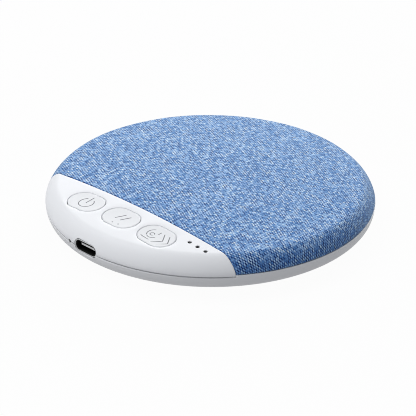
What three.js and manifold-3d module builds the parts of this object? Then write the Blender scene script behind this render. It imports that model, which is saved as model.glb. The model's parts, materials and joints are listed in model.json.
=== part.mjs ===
// A thin wireless audio disc: a fabric-covered speaker dome with a white control panel, a tapered
// lower shell, three push buttons, a USB-C socket, and the board, battery and driver inside.
// Millimetres, +Z up, origin under the middle of the disc at the level of the feet's soles.
// The control panel and the socket face -Y.

import * as THREE from 'three';
import { mergeVertices } from 'three/addons/utils/BufferGeometryUtils.js';
import Module from 'manifold-3d';

const wasm = await Module();
wasm.setup();

// ---------- driving dimensions ----------

const DISC_RADIUS = 55;
const FOOT_PROUD = 0.5;
const CROWN_Z = 17.8;
const DOME_DROP = 0.00123;
const SHOULDER_START = 50.6;
const SHOULDER_CORNER_Z = 14.1;
const SHOULDER_WEIGHT = 0.358;
const SHOULDER_STEPS = 4;
const BELLY_Z = 8.7;
const FLAT_UNDERSIDE_RADIUS = 32.7;
const UNDERSIDE_WEIGHT = 1.36;
const SEAM_LOW_Z = 7.7;
const SEAM_HIGH_Z = 8.1;
const SHELL_RIM_Z = 8.3;
const HEM_Z = 8.45;
const ROUND_STEPS = 48;

const PANEL_CHORD_Y = -32.3;
const PANEL_WALL = 1.8;
const HEM_GAP = 0.2;
const SHELL_WALL = 1.6;
const FABRIC_THICK = 0.9;
const GRILLE_OUTER_INSET = 1;
const GRILLE_INNER_INSET = 2.1;
const GRILLE_RIM_Z = 9.4;
const BAFFLE_LOW_Z = 10.8;
const BAFFLE_HIGH_Z = 12;
const BAFFLE_RADIUS = 50;
const LIP_INNER_RADIUS = 51.7;
const LIP_OUTER_RADIUS = 52.6;
const LIP_LOW_Z = 6.8;
const LIP_HIGH_Z = 9.2;
const RIB_THICK = 1.6;

const BUTTON_ROW_X = -0.25;
const BUTTON_ROW_Y = -40.55;
const BUTTON_PITCH = 16.7;
const BUTTON_LENGTH = 13.7;
const BUTTON_WIDTH = 9.8;
const BUTTON_GAP = 0.2;
const FLANGE_LOW_Z = 11.6;
const FLANGE_HIGH_Z = 12.2;
const FLANGE_SPREAD = 0.6;
const CAP_SINK = 0.15;

const LIGHT_X = [27, 30.65, 34.3];
const LIGHT_Y = -35.9;
const LIGHT_HOLE_RADIUS = 0.72;
const LED_Y = -35;
const GUIDE_LOW_Z = 11.1;
const GUIDE_HIGH_Z = 12.1;
const GUIDE_WIDTH = 2.6;

const BOARD_LOW_Z = 6.2;
const BOARD_HIGH_Z = 7.4;
const BOARD_RADIUS = 51.3;
const BOARD_HALF_WIDTH = 35.5;
const BOARD_REAR_Y = -16;
const ON_BOARD_Z = BOARD_HIGH_Z + 0.07;

const USB_X = -2.4;
const USB_Z = 8.65;
const USB_WIDTH = 9.5;
const USB_HEIGHT = 3.5;
const USB_WALL = 0.3;
const USB_FRONT_Y = -54.3;
const USB_DEPTH = 7.2;
const USB_TONGUE_WIDTH = 6.7;
const USB_TONGUE_THICK = 0.7;
const USB_TONGUE_SETBACK = 1.2;
const PORT_WIDTH = 10.7;
const PORT_HEIGHT = 4.4;
const PORT_Z = 8.55;
const PINHOLE_X = -10.55;
const PINHOLE_Z = 8;
const PINHOLE_WIDTH = 1.3;

const CASE_SCREWS = [[-40.8, -19], [40.8, -19], [-30, 34], [30, 34]];
const BOARD_SCREWS = [[-32.5, -19.5], [32.5, -19.5], [8.5, -47]];
const FEET = [[-24, -24], [24, -24], [-24, 24], [24, 24]];
const GRILLE_PEGS = [[-38, -4], [44, -2], [-14, 44], [39, 26]];

const SPEAKER = [18, 12];
const SPEAKER_RADIUS = 19;
const SPEAKER_OPENING = 17;

// ---------- materials ----------

function material(color, roughness, metalness = 0) {
  return new THREE.MeshStandardMaterial({ color, roughness, metalness });
}

const whitePlastic = material(0xeff0f2, 0.42);
const lowerPlastic = material(0xe6e7ea, 0.45);
const buttonPlastic = material(0xeceded, 0.4);
const fabric = material(0x7896b8, 0.95);
const darkPlastic = material(0x2a2c30, 0.6);
const smokedPlastic = material(0x141518, 0.2);
const steel = material(0xb9bcc0, 0.3, 1);
const brass = material(0xc8a860, 0.35, 1);
const circuitBoard = material(0x1e5a3a, 0.55);
const blackRubber = material(0x1c1c1e, 0.85);
const foam = material(0x3a3a3c, 0.95);
const foil = material(0xc3c6ca, 0.35, 0.8);
const chipBlack = material(0x222326, 0.5);
const ledWhite = material(0xf4efd8, 0.3);
const tongueWhite = material(0xdfe0e0, 0.5);
const connectorCream = material(0xe9e2cc, 0.55);
const coneBlack = material(0x2f3033, 0.75);
const copper = material(0xb87040, 0.4, 1);
const redWire = material(0xa82420, 0.5);
const blackWire = material(0x18181a, 0.5);

// ---------- solids ----------

function solidOf(geometry) {
  geometry.deleteAttribute('normal');
  geometry.deleteAttribute('uv');
  const merged = mergeVertices(geometry, 1e-5);
  const corners = Array.from(merged.index.array);
  const triangles = [];
  for (let i = 0; i < corners.length; i += 3) {
    const [a, b, c] = corners.slice(i, i + 3);
    if (a !== b && b !== c && c !== a) {
      triangles.push(a, b, c);
    }
  }
  return new wasm.Manifold(new wasm.Mesh({
    numProp: 3,
    vertProperties: new Float32Array(merged.attributes.position.array),
    triVerts: new Uint32Array(triangles),
  }));
}

function geometryOf(solid) {
  const mesh = solid.getMesh();
  const geometry = new THREE.BufferGeometry();
  geometry.setAttribute('position', new THREE.BufferAttribute(mesh.vertProperties, 3));
  geometry.setIndex(new THREE.BufferAttribute(mesh.triVerts, 1));
  geometry.computeVertexNormals();
  return geometry;
}

function cylinder(radius, low, high, x = 0, y = 0, sides = 12) {
  const geometry = new THREE.CylinderGeometry(radius, radius, high - low, sides);
  geometry.rotateX(Math.PI / 2);
  geometry.translate(x, y, (low + high) / 2);
  return solidOf(geometry);
}

function box(xs, ys, zs) {
  const geometry = new THREE.BoxGeometry(xs[1] - xs[0], ys[1] - ys[0], zs[1] - zs[0]);
  geometry.translate((xs[0] + xs[1]) / 2, (ys[0] + ys[1]) / 2, (zs[0] + zs[1]) / 2);
  return solidOf(geometry);
}

function boxAt(x, y, length, width, low, high) {
  return box([x - length / 2, x + length / 2], [y - width / 2, y + width / 2], [low, high]);
}

// Revolves an anticlockwise [radius, z] profile about the vertical line through x, y.
function revolved(profile, x = 0, y = 0, steps = ROUND_STEPS) {
  const points = profile.map(([radius, z]) => new THREE.Vector2(radius, z));
  const geometry = new THREE.LatheGeometry(points, steps);
  geometry.rotateX(Math.PI / 2);
  geometry.translate(x, y, 0);
  return solidOf(geometry);
}

function ring(innerRadius, outerRadius, low, high, x = 0, y = 0, steps = 28) {
  const corners = [[innerRadius, low], [outerRadius, low], [outerRadius, high], [innerRadius, high]];
  return revolved([...corners, corners[0]], x, y, steps);
}

function stadiumShape(length, width) {
  const reach = (length - width) / 2;
  const shape = new THREE.Shape();
  shape.absarc(reach, 0, width / 2, -Math.PI / 2, Math.PI / 2, false);
  shape.absarc(-reach, 0, width / 2, Math.PI / 2, Math.PI * 1.5, false);
  return shape;
}

function extruded(shape, depth, curveSegments = 6) {
  return new THREE.ExtrudeGeometry(shape, { depth, bevelEnabled: false, curveSegments });
}

function stadiumUpright(length, width, low, high, x, y) {
  const geometry = extruded(stadiumShape(length, width), high - low);
  geometry.translate(x, y, low);
  return solidOf(geometry);
}

function stadiumAlongY(length, height, frontY, depth, x, z) {
  const geometry = extruded(stadiumShape(length, height), depth, 5);
  geometry.rotateX(Math.PI / 2);
  geometry.translate(x, frontY + depth, z);
  return solidOf(geometry);
}

function wire(points, radius) {
  const path = new THREE.CatmullRomCurve3(points.map((point) => new THREE.Vector3(...point)));
  const section = new THREE.Shape();
  section.absarc(0, 0, radius, 0, Math.PI * 2, false);
  const options = { steps: 9, bevelEnabled: false, extrudePath: path, curveSegments: 4 };
  return solidOf(new THREE.ExtrudeGeometry(section, options));
}

// ---------- the disc's outline ----------

function conicArc(start, corner, end, weight, steps) {
  const points = [];
  for (let i = 1; i <= steps; i += 1) {
    const t = i / steps;
    const a = (1 - t) ** 2;
    const b = 2 * weight * t * (1 - t);
    const c = t ** 2;
    const sum = a + b + c;
    points.push([0, 1].map((k) => (a * start[k] + b * corner[k] + c * end[k]) / sum));
  }
  return points;
}

function inset(points, distance) {
  return points.map(([radius, z], i) => {
    const before = points[Math.max(i - 1, 0)];
    const after = points[Math.min(i + 1, points.length - 1)];
    const along = Math.hypot(after[0] - before[0], after[1] - before[1]);
    const outward = [(after[1] - before[1]) / along, (before[0] - after[0]) / along];
    return [radius - outward[0] * distance, z - outward[1] * distance];
  });
}

function domeZ(radius) {
  return CROWN_Z - DOME_DROP * radius ** 2;
}

// From the belly up over the shoulder to the crown, so that the inside lies to the left.
function upperOutline(distance) {
  const shoulderTop = [SHOULDER_START, domeZ(SHOULDER_START)];
  const belly = [DISC_RADIUS, BELLY_Z];
  const corner = [DISC_RADIUS, SHOULDER_CORNER_Z];
  const shoulder = conicArc(belly, corner, shoulderTop, SHOULDER_WEIGHT, SHOULDER_STEPS);
  const dome = [40, 24].map((radius) => [radius, domeZ(radius)]);
  const outline = inset([belly, ...shoulder, ...dome], distance);
  return [...outline, [0, CROWN_Z - distance]];
}

function lowerOutline(distance, steps) {
  const underside = FOOT_PROUD;
  const flatEdge = [FLAT_UNDERSIDE_RADIUS, underside];
  const belly = [DISC_RADIUS, BELLY_Z];
  const curve = conicArc(flatEdge, [DISC_RADIUS, underside], belly, UNDERSIDE_WEIGHT, steps);
  const outline = inset([[20, underside], flatEdge, ...curve], distance);
  return [[0, underside + distance], ...outline];
}

function skin(outerInset, innerInset, lowZ) {
  const outer = upperOutline(outerInset);
  const inner = upperOutline(innerInset).reverse();
  const foot = [[DISC_RADIUS - innerInset, lowZ], [DISC_RADIUS - outerInset, lowZ]];
  return revolved([...inner, ...foot, ...outer]);
}

function underSkin(distance) {
  return revolved([[0, 0], [DISC_RADIUS - distance, 0], ...upperOutline(distance)]);
}

function slabY(lowY, highY, lowZ = -1) {
  return box([-60, 60], [lowY, highY], [lowZ, 20]);
}

// ---------- openings shared by both shells ----------

function edgeOpenings() {
  const socket = stadiumAlongY(PORT_WIDTH, PORT_HEIGHT, -56, 9, USB_X, PORT_Z);
  const pinhole = stadiumAlongY(PINHOLE_WIDTH + 0.01, PINHOLE_WIDTH, -56, 5, PINHOLE_X, PINHOLE_Z);
  return socket.add(pinhole);
}

// ---------- shells ----------

function bottomShell() {
  const outer = lowerOutline(0, 7);
  const inner = lowerOutline(SHELL_WALL, 5).reverse();
  const rimStep = box([-60, 60], [PANEL_CHORD_Y + HEM_GAP, 60], [SEAM_LOW_Z - 1, SHELL_RIM_Z]);
  let shell = revolved([...outer, ...inner]).intersect(cylinder(60, 0, SEAM_LOW_Z).add(rimStep));
  for (const [x, y] of CASE_SCREWS) {
    shell = shell.add(cylinder(4, 2.6, 7.8, x, y));
    shell = shell.subtract(cylinder(3, -1, 3.4, x, y)).subtract(cylinder(1.6, 3, 9, x, y));
  }
  for (const [x, y] of BOARD_SCREWS) {
    shell = shell.add(cylinder(2.5, 2, 6.1, x, y));
    shell = shell.subtract(cylinder(1.1, 3.2, 7, x, y));
  }
  for (const [x, y] of FEET) {
    shell = shell.subtract(cylinder(5.2, -1, 1.3, x, y));
  }
  return shell.subtract(edgeOpenings());
}

function buttonX(index) {
  return BUTTON_ROW_X + (index - 1) * BUTTON_PITCH;
}

function controlPanel() {
  let panel = skin(0, PANEL_WALL, SEAM_HIGH_Z).intersect(slabY(-60, PANEL_CHORD_Y));
  for (let i = 0; i < 3; i += 1) {
    const length = BUTTON_LENGTH + 2 * BUTTON_GAP;
    const width = BUTTON_WIDTH + 2 * BUTTON_GAP;
    panel = panel.subtract(stadiumUpright(length, width, 10, 20, buttonX(i), BUTTON_ROW_Y));
    panel = panel.subtract(cylinder(LIGHT_HOLE_RADIUS, 10, 20, LIGHT_X[i], LIGHT_Y));
  }
  return panel;
}

function topHousing() {
  const baffle = revolved([
    [0, BAFFLE_LOW_Z],
    [BAFFLE_RADIUS - 1.4, BAFFLE_LOW_Z],
    [BAFFLE_RADIUS - 1.4, SEAM_HIGH_Z],
    [LIP_OUTER_RADIUS, SEAM_HIGH_Z],
    [LIP_OUTER_RADIUS, LIP_HIGH_Z],
    [BAFFLE_RADIUS, LIP_HIGH_Z],
    [BAFFLE_RADIUS, BAFFLE_HIGH_Z],
    [0, BAFFLE_HIGH_Z],
  ]).intersect(slabY(PANEL_CHORD_Y - RIB_THICK, 60));
  const rib = underSkin(0.6).intersect(slabY(PANEL_CHORD_Y - RIB_THICK, PANEL_CHORD_Y, BAFFLE_LOW_Z));
  const lip = ring(LIP_INNER_RADIUS, LIP_OUTER_RADIUS, LIP_LOW_Z, LIP_HIGH_Z, 0, 0, ROUND_STEPS);
  const shelfOuter = DISC_RADIUS - PANEL_WALL / 2;
  const shelf = ring(LIP_INNER_RADIUS, shelfOuter, SEAM_HIGH_Z, LIP_HIGH_Z, 0, 0, ROUND_STEPS)
    .intersect(slabY(-60, PANEL_CHORD_Y));
  const lipNotch = box([-15, 3.5], [-DISC_RADIUS + PANEL_WALL, -40], [LIP_LOW_Z - 1, LIP_HIGH_Z + 1]);
  let housing = lip.add(shelf).subtract(lipNotch).add(controlPanel()).add(rib).add(baffle);
  for (const [x, y] of CASE_SCREWS) {
    housing = housing.add(cylinder(3.5, 8, BAFFLE_LOW_Z + 0.2, x, y));
    housing = housing.subtract(cylinder(1.45, 7, 11.5, x, y));
  }
  for (const [x, y] of GRILLE_PEGS) {
    housing = housing.subtract(cylinder(1.4, BAFFLE_LOW_Z - 1, BAFFLE_HIGH_Z + 1, x, y));
  }
  const speakerOpening = cylinder(SPEAKER_OPENING, BAFFLE_LOW_Z - 1, BAFFLE_HIGH_Z + 1, ...SPEAKER, 28);
  return housing.subtract(speakerOpening).subtract(edgeOpenings());
}

function grilleHoles() {
  const pitch = 5.2;
  const rows = 3;
  const holes = [];
  for (let row = -rows; row <= rows; row += 1) {
    for (let column = -rows; column <= rows; column += 1) {
      const x = (column + row / 2) * pitch;
      const y = row * pitch * Math.sqrt(0.75);
      if (Math.hypot(x, y) < SPEAKER_OPENING - 1.5) {
        holes.push(cylinder(1.6, BAFFLE_HIGH_Z, 20, SPEAKER[0] + x, SPEAKER[1] + y, 6));
      }
    }
  }
  return holes;
}

function grilleFrame() {
  const clearOfHem = PANEL_CHORD_Y + HEM_GAP + FABRIC_THICK + 0.1;
  let frame = skin(GRILLE_OUTER_INSET, GRILLE_INNER_INSET, SEAM_HIGH_Z);
  frame = frame.intersect(slabY(clearOfHem, 60, GRILLE_RIM_Z));
  const pegRoots = underSkin((GRILLE_OUTER_INSET + GRILLE_INNER_INSET) / 2);
  for (const [x, y] of GRILLE_PEGS) {
    frame = frame.add(cylinder(1.2, BAFFLE_LOW_Z + 0.1, 16, x, y).intersect(pegRoots));
  }
  for (const hole of grilleHoles()) {
    frame = frame.subtract(hole);
  }
  return frame;
}

function fabricCover() {
  const frontY = PANEL_CHORD_Y + HEM_GAP;
  const cover = skin(0, FABRIC_THICK, HEM_Z).intersect(slabY(frontY, 60));
  const hemInner = LIP_OUTER_RADIUS + HEM_GAP;
  const hemRing = ring(hemInner, DISC_RADIUS - 0.2, HEM_Z, LIP_HIGH_Z, 0, 0, ROUND_STEPS)
    .intersect(slabY(frontY, 60));
  const chordHem = underSkin(FABRIC_THICK / 2)
    .intersect(slabY(frontY, frontY + FABRIC_THICK, BAFFLE_HIGH_Z + 0.3));
  return cover.add(hemRing).add(chordHem);
}

// ---------- buttons ----------

function buttonCap(index) {
  const x = buttonX(index);
  const y = BUTTON_ROW_Y;
  const column = stadiumUpright(BUTTON_LENGTH, BUTTON_WIDTH, FLANGE_LOW_Z, 20, x, y);
  const cap = column.intersect(underSkin(CAP_SINK));
  const length = BUTTON_LENGTH + 2 * FLANGE_SPREAD;
  const width = BUTTON_WIDTH + 2 * FLANGE_SPREAD;
  const flange = stadiumUpright(length, width, FLANGE_LOW_Z, FLANGE_HIGH_Z, x, y);
  return cap.add(flange).add(cylinder(1.5, FLANGE_LOW_Z - 0.3, FLANGE_LOW_Z + 0.1, x, y));
}

function switchBody(index) {
  const x = buttonX(index);
  const body = boxAt(x, BUTTON_ROW_Y, 6, 6, ON_BOARD_Z, 10.6);
  return body.subtract(cylinder(1.8, 8.8, 12, x, BUTTON_ROW_Y, 16));
}

function switchPlunger(index) {
  return cylinder(1.6, 9.4, FLANGE_LOW_Z - 0.4, buttonX(index), BUTTON_ROW_Y, 16);
}

// ---------- indicator lights ----------

function lightGuide() {
  const barY = (LIGHT_Y + LED_Y) / 2;
  const barLength = LIGHT_X[2] - LIGHT_X[0] + GUIDE_WIDTH;
  let guide = stadiumUpright(barLength, GUIDE_WIDTH, GUIDE_LOW_Z, GUIDE_HIGH_Z, LIGHT_X[1], barY);
  for (const x of LIGHT_X) {
    const windowZ = domeZ(Math.hypot(x, LIGHT_Y)) - 0.25;
    guide = guide.add(cylinder(LIGHT_HOLE_RADIUS - 0.1, GUIDE_HIGH_Z - 0.2, windowZ, x, LIGHT_Y, 8));
    guide = guide.add(cylinder(0.7, 8.5, GUIDE_LOW_Z + 0.2, x, LED_Y, 8));
  }
  return guide;
}

// ---------- board and what sits on it ----------

function mainBoard() {
  const outline = cylinder(BOARD_RADIUS, BOARD_LOW_Z, BOARD_HIGH_Z, 0, 0, 48);
  const span = [-BOARD_HALF_WIDTH, BOARD_HALF_WIDTH];
  let board = outline.intersect(box(span, [-60, BOARD_REAR_Y], [0, 20]));
  for (const [x, y] of BOARD_SCREWS) {
    board = board.subtract(cylinder(1.2, 0, 20, x, y));
  }
  const socketHalf = USB_WIDTH / 2 + 0.1;
  const socketBack = USB_FRONT_Y + USB_DEPTH + 0.1;
  return board.subtract(box([USB_X - socketHalf, USB_X + socketHalf], [-60, socketBack], [0, 20]));
}

function usbShell() {
  const outside = stadiumAlongY(USB_WIDTH, USB_HEIGHT, USB_FRONT_Y, USB_DEPTH, USB_X, USB_Z);
  const insideWidth = USB_WIDTH - 2 * USB_WALL;
  const insideHeight = USB_HEIGHT - 2 * USB_WALL;
  return outside.subtract(
    stadiumAlongY(insideWidth, insideHeight, USB_FRONT_Y - 1, USB_DEPTH + 2, USB_X, USB_Z),
  );
}

function usbTongue() {
  const backY = USB_FRONT_Y + USB_DEPTH;
  const halfWidth = USB_TONGUE_WIDTH / 2;
  const halfThick = USB_TONGUE_THICK / 2;
  const plate = box(
    [USB_X - halfWidth, USB_X + halfWidth],
    [USB_FRONT_Y + USB_TONGUE_SETBACK, backY - 1],
    [USB_Z - halfThick, USB_Z + halfThick],
  );
  return plate.add(stadiumAlongY(8.1, 2.36, backY - 1.6, 1.4, USB_X, USB_Z));
}

function microphoneBoot() {
  const block = box([PINHOLE_X - 2, PINHOLE_X + 2], [-51.2, -48.6], [ON_BOARD_Z, 9.2]);
  const snoutWidth = PINHOLE_WIDTH - 0.2;
  const snout = stadiumAlongY(snoutWidth + 0.01, snoutWidth, -53.5, 2.5, PINHOLE_X, PINHOLE_Z);
  return block.add(snout).subtract(stadiumAlongY(0.51, 0.5, -54, 6, PINHOLE_X, PINHOLE_Z));
}

// ---------- speaker ----------

function speakerBasket() {
  let basket = revolved([
    [8.7, 5.1],
    [12.2, 5.1],
    [17.3, 9.6],
    [SPEAKER_RADIUS, 9.6],
    [SPEAKER_RADIUS, 10.4],
    [16.8, 10.4],
    [16.8, 9.9],
    [11.8, 5.9],
    [8.7, 5.9],
    [8.7, 5.1],
  ], ...SPEAKER, 28);
  const window = box([11, 20], [-4, 4], [6, 9]);
  for (let i = 0; i < 4; i += 1) {
    basket = basket.subtract(window.rotate([0, 0, 45 + 90 * i]).translate([...SPEAKER, 0]));
  }
  return basket;
}

function speakerYoke() {
  const cup = [[0, 2.4], [8.5, 2.4], [8.5, 6.6], [7.6, 6.6], [7.6, 3.4], [0, 3.4]];
  return revolved(cup, ...SPEAKER, 28);
}

function speakerCone() {
  const wall = [[6.7, 8.1], [14.7, 9.7], [14.7, 10.05], [6.7, 8.45], [6.7, 8.1]];
  return revolved(wall, ...SPEAKER, 28);
}

function dustCap() {
  const dome = [[0, 9.3], [3.4, 9.08], [5.9, 8.55], [6.5, 8.55], [3.7, 9.4], [0, 9.65]];
  return revolved(dome, ...SPEAKER, 24);
}

function speakerSurround() {
  const roll = [
    [14.85, 9.8],
    [16.5, 9.8],
    [16.5, 10.1],
    [15.9, 10.6],
    [15.4, 10.6],
    [14.85, 10.1],
    [14.85, 9.8],
  ];
  return revolved(roll, ...SPEAKER, 28);
}

function speakerSpider() {
  const web = [[7.4, 7], [12.8, 7], [12.8, 7.3], [10.2, 7.5], [7.4, 7.3], [7.4, 7]];
  return revolved(web, ...SPEAKER, 28);
}

// ---------- fasteners and feet ----------

function caseScrew(x, y) {
  const slot = boxAt(x, y, 3.2, 0.7, 1, 2.4).add(boxAt(x, y, 0.7, 3.2, 1, 2.4));
  const head = cylinder(2.7, 1.7, 3.3, x, y).subtract(slot);
  return head.add(cylinder(1.3, 3.2, 11.3, x, y));
}

function boardScrew(x, y) {
  const slot = boxAt(x, y, 2.4, 0.5, 8.1, 9).add(boxAt(x, y, 0.5, 2.4, 8.1, 9));
  const head = cylinder(2, ON_BOARD_Z, 8.6, x, y).subtract(slot);
  return head.add(cylinder(0.95, 4, ON_BOARD_Z + 0.1, x, y));
}

function foot(x, y) {
  return revolved([[0, 0], [4.5, 0], [5, 0.4], [5, 1.2], [0, 1.2]], x, y, 20);
}

// ---------- assembly ----------

const receiver = new THREE.Group();

function place(name, solid, look) {
  const mesh = new THREE.Mesh(geometryOf(solid), look.clone());
  mesh.name = name;
  receiver.add(mesh);
}

function placeEach(stem, places, make, look) {
  places.forEach(([x, y], i) => place(`${stem}_${i + 1}`, make(x, y), look));
}

place('bottom_shell', bottomShell(), lowerPlastic);
place('top_housing', topHousing(), whitePlastic);
place('grille_frame', grilleFrame(), darkPlastic);
place('fabric_cover', fabricCover(), fabric);

['power', 'mode', 'sound'].forEach((use, i) => {
  place(`${use}_button`, buttonCap(i), buttonPlastic);
  place(`${use}_switch`, switchBody(i), chipBlack);
  place(`${use}_plunger`, switchPlunger(i), darkPlastic);
});

place('light_guide', lightGuide(), smokedPlastic);
const ledPlaces = LIGHT_X.map((x) => [x, LED_Y]);
placeEach('indicator_led', ledPlaces, (x, y) => boxAt(x, y, 1.2, 1.6, ON_BOARD_Z, 8.3), ledWhite);

place('main_board', mainBoard(), circuitBoard);
place('usb_c_shell', usbShell(), steel);
place('usb_c_tongue', usbTongue(), tongueWhite);
place('microphone', box([PINHOLE_X - 1.9, PINHOLE_X + 1.9], [-48.5, -45.6], [ON_BOARD_Z, 8.6]), foil);
place('microphone_boot', microphoneBoot(), blackRubber);
place('bluetooth_module', box([-31, -19], [-37, -22], [ON_BOARD_Z, 8.27]), circuitBoard);
place('bluetooth_shield_can', box([-30.5, -19.5], [-32.5, -22.5], [8.34, 10.1]), foil);
place('amplifier_chip', boxAt(8, -22.5, 5, 5, ON_BOARD_Z, 8.4), chipBlack);
place('charge_chip', boxAt(-4, -31, 4, 4, ON_BOARD_Z, 8.3), chipBlack);
place('power_inductor', boxAt(17, -22.5, 5, 5, ON_BOARD_Z, 10.2), chipBlack);
place('bulk_capacitor', boxAt(25, -23, 7.3, 4.3, ON_BOARD_Z, 10.2), brass);
place('battery_socket', box([-15, -9], [-22.5, -18], [ON_BOARD_Z, 10]), connectorCream);
place('battery_plug', box([-14.4, -9.6], [-17.8, -14.4], [7.9, 10]), connectorCream);

place('battery_pad', box([-30, -12], [-6, 20], [2.35, 3.2]), foam);
place('battery_cell', box([-37, -8], [-10, 26], [3.3, 8.3]), foil);
const redBatteryRoute = [[-13.2, -14, 9], [-14.4, -12.4, 8.9], [-20, -11.9, 7.6], [-24, -10.5, 6.4]];
const blackBatteryRoute = [[-10.8, -14, 9], [-11.4, -12, 7.8], [-16, -11.7, 5.6], [-19.4, -10.5, 4.8]];
place('battery_lead_red', wire(redBatteryRoute, 0.5), redWire);
place('battery_lead_black', wire(blackBatteryRoute, 0.5), blackWire);

place('speaker_basket', speakerBasket(), darkPlastic);
place('speaker_gasket', ring(16.8, 18.9, 10.47, 10.72, ...SPEAKER), foam);
place('speaker_yoke', speakerYoke(), steel);
place('speaker_magnet', cylinder(6, 3.5, 5.5, ...SPEAKER, 28), steel);
place('speaker_top_plate', cylinder(6.3, 5.57, 6.57, ...SPEAKER, 28), steel);
place('voice_coil', ring(6.7, 7.2, 5, 8, ...SPEAKER), copper);
place('speaker_cone', speakerCone(), coneBlack);
place('dust_cap', dustCap(), coneBlack);
place('speaker_surround', speakerSurround(), blackRubber);
place('speaker_spider', speakerSpider(), connectorCream);
const redSpeakerRoute = [
  [-0.6, 6.6, 9.2],
  [-3.2, 1, 8.2],
  [-1, -9, 7.6],
  [2.6, -15, 8.6],
  [4, -18, 8.1],
];
const blackSpeakerRoute = [
  [0.2, 4.4, 9.2],
  [-1, -0.5, 8.2],
  [1.2, -8.5, 7.6],
  [4.6, -14.5, 8.6],
  [6, -18, 8.1],
];
place('speaker_lead_red', wire(redSpeakerRoute, 0.45), redWire);
place('speaker_lead_black', wire(blackSpeakerRoute, 0.45), blackWire);

placeEach('board_screw', BOARD_SCREWS, boardScrew, brass);
placeEach('case_screw', CASE_SCREWS, caseScrew, steel);
placeEach('foot', FEET, foot, blackRubber);

export default receiver;
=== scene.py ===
import json
import math

import bmesh
import bpy
import numpy as np
from mathutils import Matrix, Vector
from mathutils.geometry import delaunay_2d_cdt


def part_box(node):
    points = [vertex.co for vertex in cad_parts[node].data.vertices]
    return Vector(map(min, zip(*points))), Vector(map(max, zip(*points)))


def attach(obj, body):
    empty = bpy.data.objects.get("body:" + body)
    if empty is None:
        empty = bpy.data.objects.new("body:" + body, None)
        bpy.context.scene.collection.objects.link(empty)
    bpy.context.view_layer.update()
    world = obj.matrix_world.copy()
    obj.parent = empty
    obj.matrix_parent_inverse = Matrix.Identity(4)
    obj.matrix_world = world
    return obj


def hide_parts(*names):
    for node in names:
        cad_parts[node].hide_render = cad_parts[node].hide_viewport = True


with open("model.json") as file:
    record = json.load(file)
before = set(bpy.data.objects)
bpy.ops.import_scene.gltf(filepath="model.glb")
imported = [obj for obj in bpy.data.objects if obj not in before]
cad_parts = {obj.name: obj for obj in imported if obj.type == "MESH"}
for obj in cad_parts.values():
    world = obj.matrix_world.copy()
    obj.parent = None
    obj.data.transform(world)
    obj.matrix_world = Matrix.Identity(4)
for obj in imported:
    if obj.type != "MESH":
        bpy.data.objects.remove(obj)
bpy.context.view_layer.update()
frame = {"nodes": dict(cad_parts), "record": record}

# Shapes are made in millimetres; mesh_object() and bmesh_object() turn them into metres.
MM = 0.001


def node_box(node):
    """A CAD node's lowest and highest corners, in millimetres."""
    low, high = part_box(node)
    return np.array(low) / MM, np.array(high) / MM


def node_round(node):
    """A CAD node's centre in the plan, its half width, and its low and high levels."""
    low, high = node_box(node)
    return ((low + high) / 2)[:2], (high[0] - low[0]) / 2, low[2], high[2]


# ---------- the disc's dimensions ----------

FABRIC_LOW, FABRIC_HIGH = node_box("fabric_cover")
SHELL_LOW, SHELL_HIGH = node_box("bottom_shell")
RADIUS = FABRIC_HIGH[0]
CROWN_Z = FABRIC_HIGH[2]
SEAM_HIGH_Z = 8.1
SEAM_LOW_Z = 7.7
HEM_Z = FABRIC_LOW[2] + 0.17
SHELL_RIM_Z = SHELL_HIGH[2] + 0.2
UNDERSIDE_Z = SHELL_LOW[2]
HEM_GAP = 0.2
CHORD_Y = FABRIC_LOW[1] - HEM_GAP
CLOTH_Y = CHORD_Y + 0.06

DOME_DROP = 0.00123
SHOULDER_START = 50.6
SHOULDER_CORNER_Z = 14.1
SHOULDER_WEIGHT = 0.358
BELLY_Z = 8.7
FLAT_RADIUS = 32.7
UNDERSIDE_WEIGHT = 1.36


# ---------- outlines ----------

def conic(start, corner, end, weight, count):
    t = np.linspace(0, 1, count)[:, None]
    a = (1 - t) ** 2
    b = 2 * weight * t * (1 - t)
    c = t ** 2
    return (a * np.array(start) + b * np.array(corner) + c * np.array(end)) / (a + b + c)


class Outline:
    """A profile from the axis outwards as [radius, z] points, read by the length along it."""

    def __init__(self, points, side):
        self.points = points
        steps = np.hypot(*np.diff(points, axis=0).T)
        self.length = np.concatenate([[0], np.cumsum(steps)])
        tangent = np.gradient(points, self.length, axis=0)
        tangent /= np.linalg.norm(tangent, axis=1)[:, None]
        self.normal = side * np.stack([-tangent[:, 1], tangent[:, 0]], axis=1)
        self.end = self.length[-1]

    def at(self, s):
        return np.stack([np.interp(s, self.length, column) for column in self.points.T], axis=-1)

    def normal_at(self, s):
        return np.stack([np.interp(s, self.length, column) for column in self.normal.T], axis=-1)

    def length_at_radius(self, radius):
        return np.interp(radius, self.points[:, 0], self.length)

    def length_at_height(self, z):
        heights = self.points[:, 1]
        rising = 1 if heights[-1] > heights[0] else -1
        return np.interp(rising * np.asarray(z), rising * heights, self.length)

    def place(self, flat, rise):
        """Wraps flat points over the revolved outline, raised along its normal by rise."""
        s = np.hypot(*flat.T)
        way = flat / np.maximum(s, 1e-9)[:, None]
        spot = self.at(s) + self.normal_at(s) * np.asarray(rise)[..., None]
        return np.column_stack([way * spot[:, :1], spot[:, 1]])

    def unwrap(self, xy):
        """Flat points of the cloth or skin over points of the plan."""
        xy = np.asarray(xy, float)
        radius = np.hypot(*xy.T)
        return xy * (self.length_at_radius(radius) / np.maximum(radius, 1e-9))[:, None]

    def unwrap_side(self, xz):
        """Flat points over points of the front wall, given as x and height."""
        xz = np.asarray(xz, float)
        s = self.length_at_height(xz[:, 1])
        radius = self.at(s)[:, 0]
        angle = -np.arccos(xz[:, 0] / radius)
        return np.column_stack([s * np.cos(angle), s * np.sin(angle)])


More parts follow.
